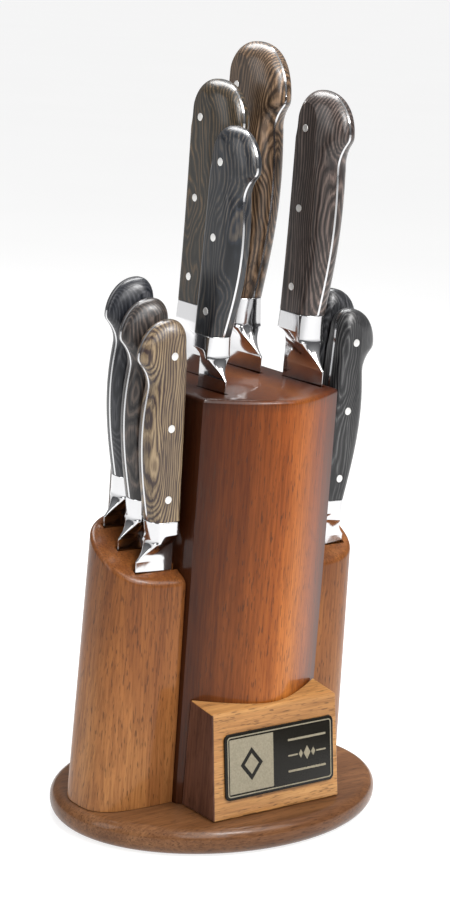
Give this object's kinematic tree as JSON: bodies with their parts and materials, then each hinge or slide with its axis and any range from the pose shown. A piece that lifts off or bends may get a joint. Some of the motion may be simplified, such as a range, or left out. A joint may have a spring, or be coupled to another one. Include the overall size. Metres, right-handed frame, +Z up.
{
  "type": "knife block with knives",
  "caption": "Oval-footed lacquered wooden knife block with a tall centre column, two side pillars and a sign block, holding forged knives with riveted wooden handles.",
  "frame": {"origin": "on the floor under the middle of the oval base", "axes": "+X to the viewer's right, +Y to the back, +Z up; the sign faces -Y"},
  "size_m": [0.187, 0.141, 0.3958],
  "materials": {
    "lacquered_wood": "gloss lacquer, red-brown stain",
    "honey_wood": "clear satin lacquer",
    "handle_wood": "satin, dark laminated hardwood",
    "polished_steel": "mirror polish",
    "rivet_steel": "satin",
    "plate_black": "gloss"
  },
  "bodies": {
    "block": {"base_plate": "lacquered_wood", "centre_column": "lacquered_wood", "left_pillar": "lacquered_wood", "right_pillar": "lacquered_wood", "sign_block": "honey_wood", "name_plate": "plate_black"},
    "utility_knife": {"utility_knife_blade": "polished_steel", "utility_knife_scale_a": "handle_wood", "utility_knife_scale_b": "handle_wood", "utility_knife_rivet_1": "rivet_steel", "utility_knife_rivet_2": "rivet_steel", "utility_knife_rivet_3": "rivet_steel"},
    "slicing_knife": {"slicing_knife_blade": "polished_steel", "slicing_knife_scale_a": "handle_wood", "slicing_knife_scale_b": "handle_wood", "slicing_knife_rivet_1": "rivet_steel", "slicing_knife_rivet_2": "rivet_steel", "slicing_knife_rivet_3": "rivet_steel"},
    "butcher_knife": {"butcher_knife_blade": "polished_steel", "butcher_knife_scale_a": "handle_wood", "butcher_knife_scale_b": "handle_wood", "butcher_knife_rivet_1": "rivet_steel", "butcher_knife_rivet_2": "rivet_steel", "butcher_knife_rivet_3": "rivet_steel"},
    "chef_knife": {"chef_knife_blade": "polished_steel", "chef_knife_scale_a": "handle_wood", "chef_knife_scale_b": "handle_wood", "chef_knife_rivet_1": "rivet_steel", "chef_knife_rivet_2": "rivet_steel", "chef_knife_rivet_3": "rivet_steel"},
    "left_steak_knife_1": {"left_steak_knife_1_blade": "polished_steel", "left_steak_knife_1_scale_a": "handle_wood", "left_steak_knife_1_scale_b": "handle_wood", "left_steak_knife_1_rivet_1": "rivet_steel", "left_steak_knife_1_rivet_2": "rivet_steel", "left_steak_knife_1_rivet_3": "rivet_steel"},
    "left_steak_knife_2": {"left_steak_knife_2_blade": "polished_steel", "left_steak_knife_2_scale_a": "handle_wood", "left_steak_knife_2_scale_b": "handle_wood", "left_steak_knife_2_rivet_1": "rivet_steel", "left_steak_knife_2_rivet_2": "rivet_steel", "left_steak_knife_2_rivet_3": "rivet_steel"},
    "left_steak_knife_3": {"left_steak_knife_3_blade": "polished_steel", "left_steak_knife_3_scale_a": "handle_wood", "left_steak_knife_3_scale_b": "handle_wood", "left_steak_knife_3_rivet_1": "rivet_steel", "left_steak_knife_3_rivet_2": "rivet_steel", "left_steak_knife_3_rivet_3": "rivet_steel"},
    "right_steak_knife_1": {"right_steak_knife_1_blade": "polished_steel", "right_steak_knife_1_scale_a": "handle_wood", "right_steak_knife_1_scale_b": "handle_wood", "right_steak_knife_1_rivet_1": "rivet_steel", "right_steak_knife_1_rivet_2": "rivet_steel", "right_steak_knife_1_rivet_3": "rivet_steel"},
    "right_steak_knife_2": {"right_steak_knife_2_blade": "polished_steel", "right_steak_knife_2_scale_a": "handle_wood", "right_steak_knife_2_scale_b": "handle_wood", "right_steak_knife_2_rivet_1": "rivet_steel", "right_steak_knife_2_rivet_2": "rivet_steel", "right_steak_knife_2_rivet_3": "rivet_steel"}
  },
  "joints": [
    {"name": "utility_knife_draw", "type": "slide", "parent": "block", "child": "utility_knife", "axis": [0, -0.0314, 0.9995], "range_m": [0, 0.135]},
    {"name": "slicing_knife_draw", "type": "slide", "parent": "block", "child": "slicing_knife", "axis": [0, -0.0122, 0.9999], "range_m": [0, 0.18]},
    {"name": "butcher_knife_draw", "type": "slide", "parent": "block", "child": "butcher_knife", "axis": [0, 0, 1], "range_m": [0, 0.2]},
    {"name": "chef_knife_draw", "type": "slide", "parent": "block", "child": "chef_knife", "axis": [0, -0.0175, 0.9998], "range_m": [0, 0.2]},
    {"name": "left_steak_knife_1_draw", "type": "slide", "parent": "block", "child": "left_steak_knife_1", "axis": [0, 0, 1], "range_m": [0, 0.115]},
    {"name": "left_steak_knife_2_draw", "type": "slide", "parent": "block", "child": "left_steak_knife_2", "axis": [0, 0, 1], "range_m": [0, 0.115]},
    {"name": "left_steak_knife_3_draw", "type": "slide", "parent": "block", "child": "left_steak_knife_3", "axis": [0, 0, 1], "range_m": [0, 0.115]},
    {"name": "right_steak_knife_1_draw", "type": "slide", "parent": "block", "child": "right_steak_knife_1", "axis": [0.0262, 0, 0.9997], "range_m": [0, 0.115]},
    {"name": "right_steak_knife_2_draw", "type": "slide", "parent": "block", "child": "right_steak_knife_2", "axis": [0.0262, 0, 0.9997], "range_m": [0, 0.115]}
  ]
}
